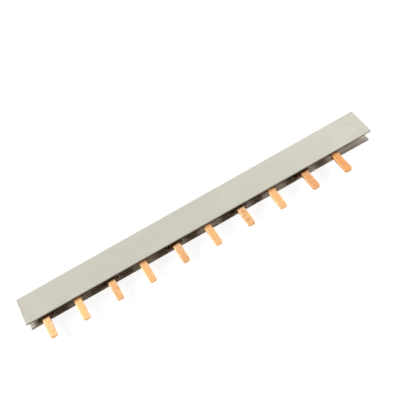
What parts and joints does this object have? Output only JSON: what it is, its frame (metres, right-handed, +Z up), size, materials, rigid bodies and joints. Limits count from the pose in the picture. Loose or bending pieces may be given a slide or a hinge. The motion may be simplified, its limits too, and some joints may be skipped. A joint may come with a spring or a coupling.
{
  "type": "comb busbar",
  "caption": "Comb busbar: a pale plastic profile with an E section holds stacked copper combs, whose straight and joggled teeth alternate to feed a row of circuit breakers.",
  "frame": {"origin": "middle of the part's bounding box in X and Y, at the underside of the lower flange", "axes": "+X along the bar, +Z up through the flanges, and the teeth point towards -Y"},
  "size_m": [0.1896, 0.0274, 0.0078],
  "materials": {
    "pale_plastic": "extruded PVC, satin, pale warm grey",
    "copper": "bare punched copper sheet, lightly tarnished"
  },
  "bodies": {
    "root": {"insulating_profile": "pale_plastic", "upper_comb": "copper", "lower_comb": "copper"}
  },
  "joints": []
}
